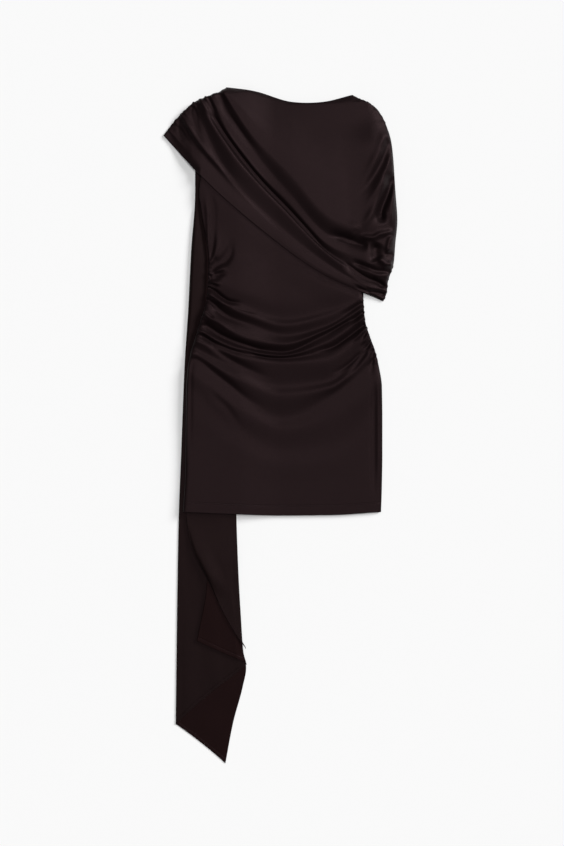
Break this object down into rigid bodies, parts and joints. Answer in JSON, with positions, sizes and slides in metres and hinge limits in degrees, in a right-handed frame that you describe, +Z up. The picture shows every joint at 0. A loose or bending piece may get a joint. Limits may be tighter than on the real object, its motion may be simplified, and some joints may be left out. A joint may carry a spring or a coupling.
{
  "type": "draped dress",
  "caption": "Ruched sheath dress laid flat, with a slanting draped overlay gathered at one shoulder and a long folded sash hanging from it.",
  "frame": {"origin": "on the surface the dress lies on, under the middle of its outline", "axes": "+X to the right as seen from above, +Y from hem to neck, +Z up from the surface"},
  "size_m": [0.468, 1.353, 0.0289],
  "materials": {
    "drape_cloth": "matt very dark brown jersey",
    "body_cloth": "matt very dark brown jersey",
    "sash_cloth": "matt very dark brown jersey, wrong side turned up at its end"
  },
  "bodies": {
    "root": {"sash_tail": "sash_cloth", "sash_overfold": "sash_cloth", "back_drape": "drape_cloth", "back_body": "body_cloth", "front_body": "body_cloth", "front_drape": "drape_cloth"}
  },
  "joints": []
}
